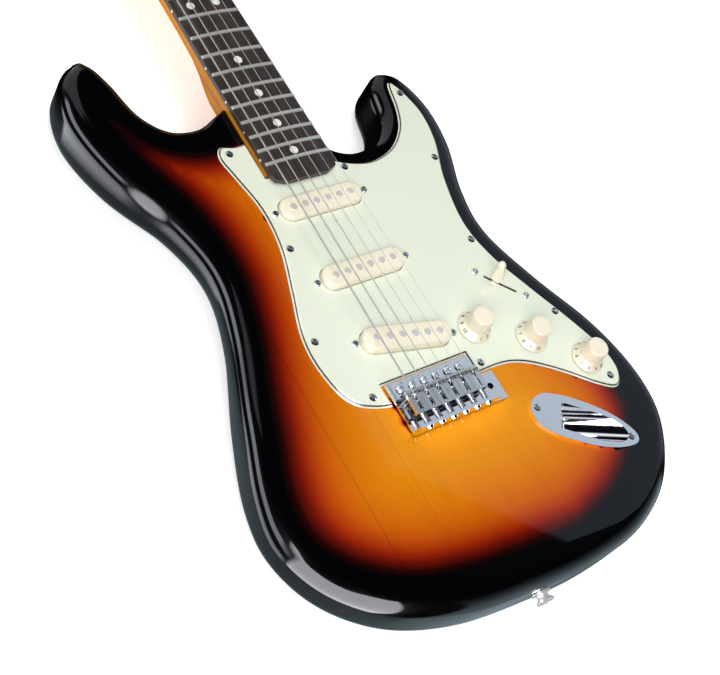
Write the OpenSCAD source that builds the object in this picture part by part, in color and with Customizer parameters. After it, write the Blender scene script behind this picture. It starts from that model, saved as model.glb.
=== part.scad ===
// Solid-body electric guitar with three single-coil pickups and a vibrato bridge.
// It lies on its back: +Y runs towards the headstock, +X towards the treble strings,
// +Z out of the front. The origin is on the back cover, straight below the saddles.

/* [Strings and neck] */
// String length from the nut to the saddles
scale_len = 648; // [646:1:650]
// Number of frets
fret_count = 21; // [20:1:21]
// Width of the neck at the nut
nut_w = 42; // [41:0.5:43]
// Width that the tapering neck would reach at the saddles
taper_w = 62; // [60:0.5:62]
// Distance between strings at the nut
nut_pitch = 7; // [6.8:0.1:7.1]
// Distance between strings at the saddles
string_pitch = 10.5; // [10.3:0.1:10.6]
// Radius of the curved playing surface
board_r = 240; // [184:1:300]
// Height of the playing surface above the body
board_h = 8.2; // [8:0.1:8.6]
// Thickness of the fingerboard
board_t = 4.8; // [4.5:0.1:5]
// Height of a fret above the fingerboard
fret_h = 1.1; // [0.8:0.1:1.3]
// Depth of the neck pocket
pocket_d = 16; // [15:0.5:16]
// Distance from the saddles to the end of the neck heel
heel_y = 187; // [186:0.5:188]
// Distance from the saddles to the end of the fingerboard
board_end_y = 176; // [175:0.5:178]
// Depth of the neck behind the fingerboard, at the nut
neck_d = 16.5; // [15:0.5:18]

/* [Body] */
// Thickness of the wooden body
body_t = 44.7; // [44:0.1:45]
// Radius of the rounded body edge
round_r = 9; // [6:0.5:9]
// Thickness of the pickguard and the back cover
guard_t = 2.3; // [2:0.1:2.5]
// Depth of the pickup and control cavities
control_d = 34; // [32:1:36]
pickup_d = 18; // [17:1:20]

/* [Pickups] */
// Distance between magnets
pole_pitch = 10; // [9.6:0.1:10.4]
// Places of the neck, middle and bridge pickups along the body
pickup_y = [156.5, 98.5, 41];
// Turn of the slanted bridge pickup
bridge_slant = -12; // [-14:1:-10]
// Heights of the three covers above the body
cover_h = [6.4, 7.5, 8.8];
// Length and width of a cover
cover_l = 70; // [68:0.5:71]
cover_w = 18; // [17:0.5:18.5]

/* [Vibrato bridge] */
// Distance from the saddles to the row of pivot screws
pivot_y = 8.5; // [8:0.5:9]
// Thickness of the bridge plate
plate_t = 2.2; // [2:0.1:2.4]
// Height at which the plate floats above the body
float_h = 1.2; // [1.1:0.1:1.4]
// Height of the strings above the body at the saddles
saddle_h = 13.4; // [13:0.1:14]
// Depth of the steel block under the plate
block_d = 40; // [38:0.5:40.5]

/* [Controls] */
// Places of the volume knob and the two tone knobs
knob_xy = [[56.5, 31], [97, 9.5], [131.5, -20]];
// Radius of a knob's skirt and its height
knob_r = 12.6; // [12:0.1:13]
knob_h = 16; // [15:0.5:17]
// Middle of the selector switch, and the turn of its slot
switch_xy = [100.3, 55];
switch_turn = -46; // [-48:1:-44]
// Tilt of the switch lever from upright, towards the neck
lever_tilt = 14; // [10:1:16]
// Middle of the jack plate, its turn, and the slope of its socket
jack_xy = [97, -61.5];
jack_turn = -37.5; // [-39:0.5:-36]
jack_slope = 25; // [23:1:27]

/* [Headstock] */
// Distance between tuners
tuner_pitch = 25.4; // [25:0.1:26]
// Slant of the row of tuners across the headstock
row_slant = 14.5; // [14:0.5:15]
// Distance from the nut to the first tuner
first_tuner = 43; // [42:1:46]
// Thickness of the headstock
head_t = 14.5; // [14:0.5:15]

/* [Hidden] */
$fn = 48;

back = guard_t;                       // back face of the wooden body
top = back + body_t;                  // front face of the wooden body
guard_top = top + guard_t;            // front face of the pickguard
board_top = top + board_h;
board_bottom = board_top - board_t;
pocket_z = top - pocket_d;
spring_z = back + 17;                 // depth of the spring cavity in the back
side = [0:5];                         // the six strings, bass to treble
EPS = 0.02;                           // clearance between fixed parts

// ---------- Curves ----------

// A point of the smooth curve through b and c, with neighbours a and d
function bend(a, b, c, d, t) = 0.5 * ((2 * b) + (c - a) * t
    + (2 * a - 5 * b + 4 * c - d) * t * t + (3 * b - a - 3 * c + d) * t * t * t);
// A closed smooth curve through the given points, with n steps between two of them
function loop(p, n) = let (m = len(p)) [for (i = [0:m-1], k = [0:n-1])
    bend(p[(i + m - 1) % m], p[i], p[(i + 1) % m], p[(i + 2) % m], k / n)];
// The outward direction at point i of a counter-clockwise loop
function outward(p, i) = let (m = len(p), d = p[(i + 1) % m] - p[(i + m - 1) % m])
    [d[1], -d[0]] / norm(d);
// Closes a stack of rings, each listed counter-clockwise from above, into a solid
module skin(rings) {
    n = len(rings[0]);
    last = (len(rings) - 1) * n;
    polyhedron([for (ring = rings) each ring], concat(
        [[for (i = [0:n-1]) i]], [[for (i = [0:n-1]) last + n - 1 - i]],
        [for (r = [0:len(rings)-2], i = [0:n-1]) let (j = (i + 1) % n)
            [r * n + i, (r + 1) * n + i, (r + 1) * n + j, r * n + j]]));
}
// A round rod between two points
module rod(a, b, r) {
    v = b - a;
    translate(a) rotate([0, acos(v[2] / norm(v)), atan2(v[1], v[0])])
        cylinder(h = norm(v), r = r);
}
module slab(x, y, z) {
    translate([x[0], y[0], z[0]]) cube([x[1] - x[0], y[1] - y[0], z[1] - z[0]]);
}
// A bar with round ends, centred, lying along X
module oblong(l, w, h) {
    translate([-(l - w) / 2, -w / 2, 0]) cube([l - w, w, h]);
    for (s = [-1, 1]) translate([s * (l - w) / 2, 0, 0]) cylinder(h = h, r = w / 2);
}
module rounded_rect(x, y, r) {
    square([x, y - 2 * r], center = true);
    square([x - 2 * r, y], center = true);
    for (i = [-1, 1], j = [-1, 1]) translate([i * (x / 2 - r), j * (y / 2 - r)]) circle(r);
}

// ---------- Places ----------

function fret_y(n) = scale_len * pow(2, -n / 12);
function neck_w(y) = nut_w + (taper_w - nut_w) * (scale_len - y) / scale_len;
function saddle_x(i) = string_pitch * (i - 2.5);
function nut_x(i) = nut_pitch * (i - 2.5);
function string_x(i, y) = saddle_x(i) + (nut_x(i) - saddle_x(i)) * y / scale_len;
string_r = [0.58, 0.46, 0.34, 0.22, 0.17, 0.13];
nut_string_z = board_top + fret_h + 1.1;
saddle_string_z = top + saddle_h;
head_top = board_top - 9.6;
head_back = head_top - head_t;

// The six tuners stand in a slanted row beside the strings' straight run
function tuner_at(i) = let (y = scale_len + first_tuner + i * tuner_pitch * cos(row_slant))
    [-20.5 + i * tuner_pitch * sin(row_slant), y];
post_r = 3.2;
tree_xy = [13, 712];                  // the bar that holds two strings down
tree_h = 6.6;
worm_off = 6.3;                       // from the post to the button's shaft, along the row
worm_z = head_back - 5;

outline = [[-18, 252], [-33, 246], [-53, 239], [-74, 245], [-88, 262], [-95, 290],
    [-103, 308.5], [-115.5, 312.5], [-131.5, 298], [-139, 265], [-130, 220], [-109, 170],
    [-102, 130], [-112.5, 86], [-136, 28], [-151.5, -18], [-153.5, -54], [-138, -91],
    [-105, -121], [-57.5, -139], [0, -146], [50, -147.5], [97, -141.5], [138, -121],
    [167.5, -84], [175, -44], [165, 4], [140.5, 56], [124.5, 100], [127.5, 136], [142, 178],
    [145, 215], [135, 245], [118, 253], [105, 241], [96, 213], [78, 196], [54, 193],
    [36, 200], [29, 216], [27, 234], [20, 247], [4, 252]];

guard_outline = [[-20, 216], [-38, 216], [-49, 218], [-54, 209], [-51, 192], [-46, 163],
    [-49, 132], [-60, 99], [-71, 68], [-73, 42], [-66, 15], [-48, 3], [-20, -1],
    [20, -1], [58, 0], [80, -5], [104, -20], [130, -41], [144, -47], [153, -36],
    [152, -16], [140, 14], [124, 47], [110, 79], [105, 110], [113, 148], [126, 180],
    [130, 206], [125, 229], [119, 239], [115, 234], [110, 215], [101, 198], [84, 184],
    [62, 178], [44, 181], [28, 189], [4, 208]];

guard_screws = [[-45.5, 210.5], [36, 178.5], [121, 227], [115, 167], [100.5, 95],
    [131, 21.5], [142, -38], [45.5, 5.8], [-48, 10.5], [-65, 60], [-43, 129]];
cover_size = [84, 152];
cover_mid = [0, 43];
cover_holes = [for (s = [-1, 1], y = [-69, 0, 69]) cover_mid + [s * 37.5, y]];
plate_mid = [0, 217.5];
plate_holes = [for (x = [-19, 19], y = [-25.5, 25.5]) plate_mid + [x, y]];

module at_switch() { translate([switch_xy[0], switch_xy[1], 0]) rotate(switch_turn) children(); }
module at_jack() { translate([jack_xy[0], jack_xy[1], top]) rotate(jack_turn) children(); }
jack_screws = [[-37.5, 0], [37.5, 0]];
// The socket's own frame: the middle of its wall, with +X pointing the way a plug leaves
module at_socket() { at_jack() translate([-13.5, 0, -9.6]) rotate([0, -jack_slope, 0]) children(); }
module at_pickup(i) {
    translate([0, pickup_y[i], 0]) rotate(i == 2 ? bridge_slant : 0) children();
}
module at_tuner(i) { p = tuner_at(i); translate([p[0], p[1], 0]) rotate(-row_slant) children(); }
// A strap button's frame: +Z points out of the body's edge
module at_strap_tail() { translate([5, -146.6, top - 23]) rotate([90, 0, -4]) children(); }
module at_strap_horn() { translate([-107.9, 312.5, top - 23]) rotate([-90, 0, -24]) children(); }

// ---------- Fasteners ----------

// A cross-head screw: its head's top is at the origin, and it runs down -Z
module screw(r, length, head_r, head_h, countersunk = true) {
    difference() {
        union() {
            if (countersunk) {
                translate([0, 0, -head_h]) cylinder(h = head_h, r1 = r, r2 = head_r);
                cylinder(h = 0.6, r1 = head_r, r2 = head_r * 0.6);
            } else {
                translate([0, 0, -head_h]) cylinder(h = head_h, r1 = head_r, r2 = head_r * 0.8);
            }
            translate([0, 0, -length]) cylinder(h = length - head_h + 0.01, r = r);
        }
        for (a = [0, 90]) rotate(a) translate([-head_r * 0.55, -head_r * 0.12, -head_h * 0.5])
            cube([head_r * 1.1, head_r * 0.24, head_h * 2]);
    }
}
module sink(r, head_r, head_h) {
    translate([0, 0, -head_h]) cylinder(h = head_h + 0.01, r1 = r + EPS, r2 = head_r + EPS);
}

// ---------- Body ----------

// The rounding of the edge is smaller round the neck's heel, where the neck plate sits
function edge_r(p) = max(2.5, min(round_r, 2.5 + 0.3 * (norm(p - [0, 238]) - 40)));
// Rings that draw in towards both faces: bends are [angle, 1 for the front or 0 for the back]
module body_blank() {
    edge = loop(outline, 4);
    bends = [[90, 0], [60, 0], [30, 0], [0, 0], [0, 1], [30, 1], [60, 1], [90, 1]];
    skin([for (b = bends) [for (i = [0:len(edge)-1]) let (r = edge_r(edge[i]),
        p = edge[i] - outward(edge, i) * r * (1 - cos(b[0])), drop = r * (1 - sin(b[0])))
        [p[0], p[1], b[1] == 1 ? top - drop : back + drop]]]);
}
module neck_pocket() {
    translate([0, 0, pocket_z]) linear_extrude(40) polygon([
        [-neck_w(heel_y) / 2 - 0.1, heel_y - 0.1], [neck_w(heel_y) / 2 + 0.1, heel_y - 0.1],
        [neck_w(206) / 2 + 0.1, 206], [38, 207], [38, 262], [-neck_w(262) / 2 - 0.1, 262]]);
}
control_outline = [[44, 50], [44, 22], [58, 9], [84, -1], [104, -15], [120, -28],
    [133, -39], [139, -35], [147, -24], [138, 4], [126, 20], [124, 38], [117, 54],
    [98, 84], [82, 88], [72, 76], [62, 54]];
module control_cavity() {
    translate([0, 0, top - control_d]) linear_extrude(control_d + 1) polygon(control_outline);
    for (i = [0:2]) translate([0, 0, top - pickup_d]) at_pickup(i) oblong(92, 26, pickup_d + 1);
    slab([18, 36], [30, 152], [top - pickup_d, top + 1]);
}
module tremolo_cavity() {
    slab([-34.8, 38], [-21, 6.5], [-1, top + 1]);
    slab([-29, 29], [-21, 108], [-1, spring_z]);
    slab([37, 47.5], [-20.5, -5.5], [top - 17, top + 1]);
    rod([44.5, 40, 16], [28, 40, 16], 1.6);
    for (x = [-12, 12]) rod([x, 107, 11], [x, 146, 11], 1.6 + EPS);
}
module jack_cavity() {
    at_jack() translate([0, 0, -32]) linear_extrude(33) polygon([[-33, -9], [-28, -12.5],
        [8, -12.5], [22, -11.3], [33.5, -6.5], [36, 0], [33.5, 6.5], [22, 11.3], [8, 12.5],
        [-28, 12.5], [-33, 9]]);
    at_socket() rotate([0, -90, 0]) cylinder(h = 38, r = 5.5);
    rod([78, -42, top - 24], [86, 8, top - 24], 4);
}
// A screw hole in the wood, a little larger than the screw
module pilot(h, r) { cylinder(h = h, r = (r + EPS) / cos(180 / 16), $fn = 16); }
module body() {
    color("saddlebrown") resize([0, 0, body_t]) difference() {
        body_blank();
        neck_pocket();
        control_cavity();
        tremolo_cavity();
        jack_cavity();
        at_jack() for (p = jack_screws) translate([p[0], p[1], -14]) pilot(15, 1.4);
        for (p = guard_screws) translate([p[0], p[1], top - 12]) pilot(13, 1.4);
        for (p = cover_holes) translate([p[0], p[1], back - 1]) pilot(12, 1.4);
        for (p = plate_holes) translate([p[0], p[1], back - 1]) pilot(60, 2.2);
        for (i = side) translate([saddle_x(i), pivot_y, top - 26]) pilot(27, 1.7);
        at_strap_tail() translate([0, 0, -26]) pilot(30, 1.7);
        at_strap_horn() translate([0, 0, -26]) pilot(30, 1.7);
    }
}

// ---------- Neck ----------

// Sections along the neck: [y, height of the top, depth, squareness]
neck_sections = [[heel_y, board_bottom, board_bottom - pocket_z, 10],
    [263, board_bottom, board_bottom - pocket_z, 10], [270, board_bottom, 18.7, 8],
    [277, board_bottom, 18, 5.5], [286, board_bottom, 17.4, 3.6], [298, board_bottom, 17.1, 2.7],
    [320, board_bottom, 17, 2.4],
    [400, board_bottom, neck_d + 0.4, 2.3], [620, board_bottom, neck_d - 0.3, 2.3],
    [640, board_bottom, neck_d, 2.5], [652, board_bottom, board_bottom - head_back, 3],
    [655, board_bottom - 1.4, board_bottom - 1.4 - head_back, 4],
    [660, head_top + 0.8, head_t + 0.8, 7], [668, head_top, head_t, 9]];
// Half of the section below the top edge, from the treble side to the bass side
function half_round(w, depth, sq) = [for (a = [0:9:180])
    [w / 2 * sign(cos(a)) * pow(abs(cos(a)), 2 / sq), -depth * pow(sin(a), 2 / sq)]];
// The headstock: the bass edge runs along the tuners, the tip is cut at a slant
head_outline = [[21, 652], [21.5, 662], [25, 690], [29, 730], [33, 775], [35, 812], [33, 830],
    [24, 840], [11, 843], [-1, 839], [-5, 829], [-9, 811], [-18, 776], [-27, 741], [-34, 712],
    [-36.5, 694], [-33, 680], [-25, 670], [-21, 661], [-21, 652]];
module neck_blank() {
    skin([for (s = neck_sections) [for (p = half_round(neck_w(s[0]), s[2], s[3]))
        [p[0], s[0], s[1] + p[1]]]]);
    translate([0, 0, head_back]) linear_extrude(head_t) polygon(head_outline);
}
module neck() {
    color("goldenrod") difference() {
        neck_blank();
        rod([0, heel_y - 1, board_bottom - 5], [0, scale_len - 14, board_bottom - 5], 3 + EPS);
        for (p = plate_holes) translate([p[0], p[1], pocket_z - 1])
            cylinder(h = 15, r = 2.2 + EPS);
        for (i = side) at_tuner(i) translate([0, 0, head_back - 1])
            cylinder(h = head_t + 2, r = 4.9 + EPS);
        translate([tree_xy[0], tree_xy[1], head_top - 9]) cylinder(h = 10, r = 1.2 + EPS);
    }
}
module truss_rod() {
    color("dimgray") {
        rod([0, heel_y + 8, board_bottom - 5], [0, scale_len - 16, board_bottom - 5], 2.4);
        difference() {
            rod([0, heel_y + 0.5, board_bottom - 5], [0, heel_y + 7.9, board_bottom - 5], 2.9);
            translate([-3, heel_y, board_bottom - 5.5]) cube([6, 2.5, 1]);
        }
    }
}
// Everything under the curved playing surface
module under_board(rise) {
    translate([0, board_end_y - 5, board_top - board_r]) rotate([-90, 0, 0])
        cylinder(h = scale_len, r = board_r + rise, $fn = 360);
}
dot_frets = [3, 5, 7, 9, 15, 17, 19, 21];
function dot_y(n) = (fret_y(n) + fret_y(n - 1)) / 2;
module dot_bores(r) {
    for (n = dot_frets) translate([0, dot_y(n), board_top - 1.5]) cylinder(h = 3, r = r);
    for (x = [-11, 11]) translate([x, dot_y(12), board_top - 1.7]) cylinder(h = 3, r = r);
}
module side_dots(r) {
    for (n = concat(dot_frets, [12])) rod([-neck_w(dot_y(n)) / 2 - 1, dot_y(n), board_bottom + 1.6],
        [-neck_w(dot_y(n)) / 2 + 1.5, dot_y(n), board_bottom + 1.6], r);
}
module board_plan() {
    linear_extrude(board_t + 1) polygon([[-neck_w(scale_len) / 2, scale_len],
        [-neck_w(185) / 2, 185], [-neck_w(180) / 2 + 2, 179.5], [-18, board_end_y],
        [18, board_end_y], [neck_w(180) / 2 - 2, 179.5], [neck_w(185) / 2, 185],
        [neck_w(scale_len) / 2, scale_len]]);
}
module fingerboard() {
    color([0.2, 0.15, 0.14]) difference() {
        intersection() {
            translate([0, 0, board_bottom]) board_plan();
            under_board(0);
        }
        dot_bores(3.2);
        side_dots(1);
    }
}
module position_dots() {
    color("gainsboro") intersection() {
        union() {
            intersection() { dot_bores(3.2 - 0.01); under_board(0); }
            intersection() { side_dots(1 - 0.01); translate([0, 0, board_bottom]) board_plan(); }
        }
        slab([-40, 40], [100, 700], [board_bottom, board_top + 1]);
    }
}
module frets() {
    color("silver") difference() {
        intersection() {
            for (n = [1:fret_count]) slab([-neck_w(fret_y(n)) / 2 + 0.4, neck_w(fret_y(n)) / 2 - 0.4],
                [fret_y(n) - 1.2, fret_y(n) + 1.2], [board_bottom, board_top + 3]);
            under_board(fret_h);
        }
        under_board(0);
    }
}
module nut() {
    color("ivory") difference() {
        slab([-nut_w / 2, nut_w / 2], [scale_len + EPS, scale_len + 3.4], [board_bottom, nut_string_z + 0.9]);
        for (i = side) translate([nut_x(i), scale_len - 1, nut_string_z - string_r[i] - EPS])
            translate([-string_r[i] - 0.05, 0, -0.3]) cube([2 * string_r[i] + 0.1, 6, 5]);
    }
}
module neck_plate() {
    color("silver") difference() {
        translate([plate_mid[0], plate_mid[1], back - 1.6]) linear_extrude(1.6)
            rounded_rect(51, 64, 4);
        for (p = plate_holes) translate([p[0], p[1], back - 2]) cylinder(h = 3, r = 2.2 + EPS);
        for (p = plate_holes) translate([p[0], p[1], back - 1.61])
            cylinder(h = 1.4, r1 = 4 + EPS, r2 = 2.2 + EPS);
    }
}
module neck_screws() {
    color("silver") for (p = plate_holes) translate([p[0], p[1], back - 1.6])
        mirror([0, 0, 1]) screw(2.2, 42, 4, 1.4);
}

// ---------- Plastic covers ----------

module pickguard() {
    color("honeydew") difference() {
        translate([0, 0, top]) linear_extrude(guard_t) polygon(loop(guard_outline, 5));
        slab([-neck_w(heel_y) / 2 - 0.3, neck_w(heel_y) / 2 + 0.3], [heel_y - 0.4, 260], [top - 1, top + 9]);
        slab([-36.6, 38.6], [-20, 16.2], [top - 1, top + 9]);
        for (i = [0:2]) translate([0, 0, top - 1]) at_pickup(i) {
            oblong(cover_l + 0.6, cover_w + 0.6, 9);
            for (x = [-39, 39]) translate([x, 0, 0]) cylinder(h = 9, r = 1.5 + EPS);
        }
        for (p = knob_xy) translate([p[0], p[1], top - 1]) cylinder(h = 9, r = 4.7 + EPS);
        translate([0, 0, top - 1]) at_switch() {
            oblong(27, 1.8, 9);
            for (x = [-20.8, 20.8]) translate([x, 0, 0]) cylinder(h = 9, r = 1.5 + EPS);
        }
        for (p = guard_screws) translate([p[0], p[1], top - 1]) cylinder(h = 9, r = 1.4 + EPS);
        for (p = guard_screws) translate([p[0], p[1], guard_top]) sink(1.4, 2.7, 1.5);
    }
}
module back_cover() {
    color("honeydew") difference() {
        translate([cover_mid[0], cover_mid[1], 0]) linear_extrude(guard_t)
            rounded_rect(cover_size[0], cover_size[1], 7);
        for (i = side) translate([saddle_x(i), -6, -1]) cylinder(h = 9, r = 4);
        for (p = cover_holes) translate([p[0], p[1], -1]) cylinder(h = 9, r = 1.4 + EPS);
        for (p = cover_holes) translate([p[0], p[1], 0.7]) mirror([0, 0, 1]) sink(1.4, 2.7, 1.5);
        for (p = cover_holes) translate([p[0], p[1], -1]) cylinder(h = 1.71, r = 2.7 + EPS);
    }
}
module cover_screws() {
    color("silver") {
        for (p = guard_screws) translate([p[0], p[1], guard_top]) screw(1.4, 12, 2.7, 1.5);
        for (p = cover_holes) translate([p[0], p[1], 0.7]) mirror([0, 0, 1]) screw(1.4, 12, 2.7, 1.5);
        at_jack() for (p = jack_screws) translate([p[0], p[1], 1.6]) screw(1.4, 14, 2.7, 1.5);
    }
}

// ---------- Pickups ----------

module pickup_cover(i) {
    z = top + cover_h[i];
    color("antiquewhite") difference() {
        translate([0, 0, z - 13]) at_pickup(i) oblong(cover_l, cover_w, 13);
        translate([0, 0, z - 14]) at_pickup(i) oblong(cover_l - 2.4, cover_w - 2.4, 12.8);
        at_pickup(i) for (k = side) translate([pole_pitch * (k - 2.5), 0, z - 5])
            cylinder(h = 9, r = 2.4 + EPS);
    }
}
module pole_magnets() {
    color("gray") for (i = [0:2], k = side) at_pickup(i)
        translate([pole_pitch * (k - 2.5), 0, top + cover_h[i] - 16.4]) cylinder(h = 17, r = 2.4);
}
module pickup_bobbins() {
    color([0.15, 0.15, 0.15]) for (i = [0:2]) at_pickup(i) translate([0, 0, top + cover_h[i]])
        difference() {
            union() {
                translate([0, 0, -2.7]) oblong(64, 12, 1.4);
                translate([0, 0, -15.5]) oblong(86, 17, 2.4);
            }
            for (k = side) translate([pole_pitch * (k - 2.5), 0, -18]) cylinder(h = 20, r = 2.4 + EPS);
            for (x = [-39, 39]) translate([x, 0, -18]) cylinder(h = 20, r = 1.5 + EPS);
        }
}
module pickup_coils() {
    color("darkred") for (i = [0:2]) at_pickup(i) translate([0, 0, top + cover_h[i] - 13.05])
        difference() {
            oblong(62, 11, 10.3);
            translate([0, 0, -1]) oblong(56, 5.4, 13);
        }
}
// Screws that hold the pickups and the switch under the pickguard
module machine_screws() {
    color("silver") {
        for (i = [0:2], x = [-39, 39]) at_pickup(i) translate([x, 0, guard_top + 1.5 + EPS])
            screw(1.5, 18, 2.6, 1.5, false);
        for (x = [-20.8, 20.8]) at_switch() translate([x, 0, guard_top + 1.5 + EPS])
            screw(1.5, 7, 2.6, 1.5, false);
    }
}

// ---------- Controls ----------

module knob(p) {
    color("antiquewhite") translate([p[0], p[1], guard_top + 0.7]) difference() {
        rotate_extrude() polygon([[0, 0], [knob_r, 0], [knob_r, 1.2], [9.6, 4.6], [9, 6],
            [8.1, knob_h - 0.6], [7.5, knob_h], [0, knob_h]]);
        translate([0, 0, -1]) cylinder(h = 6.5, r = 7.8);
        translate([0, 0, -1]) cylinder(h = knob_h - 2, r = 3);
    }
}
module pot_shaft(p) {
    color("silver") translate([p[0], p[1], top - 8]) cylinder(h = guard_t + 8.7 + knob_h - 3.2, r = 3);
}
module pot_housings() {
    color("gray") for (p = knob_xy) translate([p[0], p[1], top]) difference() {
        union() {
            translate([0, 0, -10]) cylinder(h = 10 - EPS, r = 11);
            translate([0, 0, -1]) cylinder(h = 1 + guard_t + 4, r = 4.7);
        }
        translate([0, 0, -8.5]) cylinder(h = 20, r = 3.05);
        translate([0, 0, -8.5]) cylinder(h = 6.5, r = 9.8);
    }
}
module pot_nuts() {
    color("silver") for (p = knob_xy) translate([p[0], p[1], guard_top + EPS]) difference() {
        cylinder(h = 2.2, r = 6.4, $fn = 6);
        translate([0, 0, -1]) cylinder(h = 5, r = 4.7 + EPS);
    }
}
lever_drop = 16;                      // from the pickguard's face down to the lever's pivot
module at_lever() {
    at_switch() translate([0, 0, guard_top - lever_drop]) rotate([0, -lever_tilt, 0]) children();
}
module switch_frame() {
    color("gainsboro") at_switch() {
        difference() {
            translate([0, 0, top - 1.2 - EPS]) oblong(48, 11, 1.2);
            translate([0, 0, top - 3]) oblong(27, 1.8, 9);
            for (x = [-20.8, 20.8]) translate([x, 0, top - 3]) cylinder(h = 9, r = 1.5 + EPS);
        }
        for (s = [-1, 1]) translate([-9, s * 2.6 - 0.5, top - 24]) cube([18, 1, 24 - 1.2]);
        translate([0, 0, guard_top - lever_drop]) rotate([90, 0, 0]) cylinder(h = 5.2, r = 1.5, center = true);
        translate([-11, 3.1, top - 26]) cube([22, 1.4, 16]);
    }
}
module switch_lever() {
    color("silver") at_lever() difference() {
        union() {
            translate([-2.6, -0.5, 0]) cube([5.2, 1, lever_drop + 12]);
            rotate([90, 0, 0]) cylinder(h = 1, r = 4, center = true);
        }
        rotate([90, 0, 0]) cylinder(h = 4, r = 1.55, center = true);
    }
}
module switch_tip() {
    color("antiquewhite") at_lever() difference() {
        translate([0, 0, lever_drop + 4.6]) rotate_extrude()
            polygon([[0, 0], [3.6, 0], [4.4, 1.5], [4.1, 8], [3, 15.5], [1.6, 17.6], [0, 18.2]]);
        translate([-2.6, -0.5, 0]) cube([5.2, 1, lever_drop + 12]);
        for (s = [-1, 1]) translate([-6, s * 3.9 - 1.2, 0]) cube([12, 2.4, 60]);
    }
}

// ---------- Output jack ----------

// Half of the plate's outline, from its blunt end to its pointed end
jack_edge = [[-42.5, 0], [-41, 6], [-35, 12.5], [-24, 15.8], [-8, 16.8], [12, 15.4],
    [27, 12], [38, 7], [43, 2.5]];
jack_outline = concat([for (p = jack_edge) [p[0], -p[1]]],
    [for (k = [len(jack_edge)-1:-1:1]) jack_edge[k]]);
cup_r = 10.5;
// The trough that the plug lies in, open to the front
module trough(r, start) {
    at_socket() translate([start, 0, 0]) rotate([90, 0, 90]) linear_extrude(70) union() {
        circle(r);
        translate([-r, 0]) square([2 * r, 40]);
    }
}
module jack_plate() {
    color("silver") difference() {
        union() {
            at_jack() linear_extrude(1.6) polygon(loop(jack_outline, 3));
            intersection() {
                trough(cup_r + 1.2, -1.2);
                at_jack() translate([-30, -20, -40]) cube([80, 40, 41]);
            }
        }
        trough(cup_r, 0);
        at_socket() rotate([0, 90, 0]) cylinder(h = 10, r = 4.7 + EPS, center = true);
        at_jack() for (p = jack_screws) {
            translate([p[0], p[1], -1]) cylinder(h = 9, r = 1.4 + EPS);
            translate([p[0], p[1], 1.6]) sink(1.4, 2.7, 1.5);
        }
    }
}
module jack_socket() {
    color("gainsboro") {
        difference() {
            at_socket() rotate([0, 90, 0]) union() {
                translate([0, 0, -6]) cylinder(h = 8.6, r = 4.7);
                translate([0, 0, EPS]) cylinder(h = 2, r = 6.6, $fn = 6);
                translate([0, 0, -8.4]) cylinder(h = 7.1, r = 9);
            }
            at_socket() rotate([0, 90, 0]) cylinder(h = 30, r = 3.25, center = true);
        }
    }
}
module wiring() {
    z = top - 28;
    color("black") {
        // pickup lead to the volume pot, and on to the jack
        rod([27, 60, z + 12], [27, 120, z + 12], 0.9);
        rod([56, 30, z], [96, 8, z], 0.9);
        rod([96, 8, z], [130, -18, z], 0.9);
        rod([86, 6, top - 24], [79, -37, top - 24], 0.9);
    }
    // tone capacitor
    color("tan") translate([114, -4, top - 14]) rotate([90, 0, 40]) cylinder(h = 4, r = 5);
}

// ---------- Vibrato bridge ----------

plate_z = top + float_h;
plate_top = plate_z + plate_t;
hole_y = -6;                          // row of string holes in the plate and the block
arm_xy = [40.5, -12.3];               // hole for the vibrato arm
arm_r = 2.4;
intonation_z = plate_top + 6.2;
flange_y = -23;
module bridge_plate() {
    color("silver") difference() {
        union() {
            translate([0, 0, plate_z]) linear_extrude(plate_t) difference() {
                polygon([[-35.4, 14.8], [-35.4, -24], [48.8, -24], [48.8, -2], [37.4, -2],
                    [37.4, 12], [35, 14.8]]);
                translate(arm_xy) circle(arm_r);
            }
            slab([-35.4, 37.4], [-24, flange_y + 1.2], [plate_top - 0.1, plate_top + 9.6]);
        }
        for (i = side) {
            translate([saddle_x(i), pivot_y, plate_z - 1]) cylinder(h = 9, r = 2.3);
            translate([saddle_x(i), hole_y, plate_z - 1]) cylinder(h = 9, r = 2);
            rod([saddle_x(i), -30, intonation_z], [saddle_x(i), -15, intonation_z], 1.5 + EPS);
        }
    }
}
module tremolo_block() {
    color("gray") difference() {
        slab([-34, 34], [-13, 2.5], [plate_z - block_d, plate_z - EPS]);
        for (i = side) {
            translate([saddle_x(i), hole_y, plate_z - block_d - 1]) cylinder(h = block_d + 2, r = 1.5);
            translate([saddle_x(i), hole_y, plate_z - block_d - 1]) cylinder(h = block_d - 10, r = 2.6);
        }
        for (x = [-21, 0, 21]) rod([x, -1, plate_z - block_d + 5], [x, 4, plate_z - block_d + 5], 1.2);
    }
    // socket that the vibrato arm screws into
    color("gray") difference() {
        translate([arm_xy[0], arm_xy[1], plate_z - 13]) cylinder(h = 13 - EPS, r = 5);
        translate([arm_xy[0], arm_xy[1], plate_z - 14]) cylinder(h = 20, r = arm_r);
    }
}
saddle_l = 16;
saddle_top = saddle_string_z - 1.2;
module saddles() {
    color("silver") for (i = side) translate([saddle_x(i), 0, 0]) difference() {
        union() {
            slab([-5.1, 5.1], [-14, 3.2], [saddle_top - 2, saddle_top - 0.2]);
            slab([-5.1, 5.1], [1.6, 3.2], [plate_top + 1.6, saddle_top - 1]);
            slab([-5.1, 5.1], [-14, -12], [plate_top + 1.6, saddle_top - 1]);
            translate([-5.1, 0, saddle_string_z - string_r[i] - EPS - 1.6]) rotate([0, 90, 0])
                cylinder(h = 10.2, r = 1.6);
        }
        slab([-1.6, 1.6], [-12.5, -0.5], [plate_top, saddle_top + 3]);
        for (x = [-3.4, 3.4]) translate([x, -0.4, plate_top]) cylinder(h = 20, r = 1 + EPS);
        rod([0, -20, intonation_z], [0, -11, intonation_z], 1.3 + EPS);
    }
}
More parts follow.
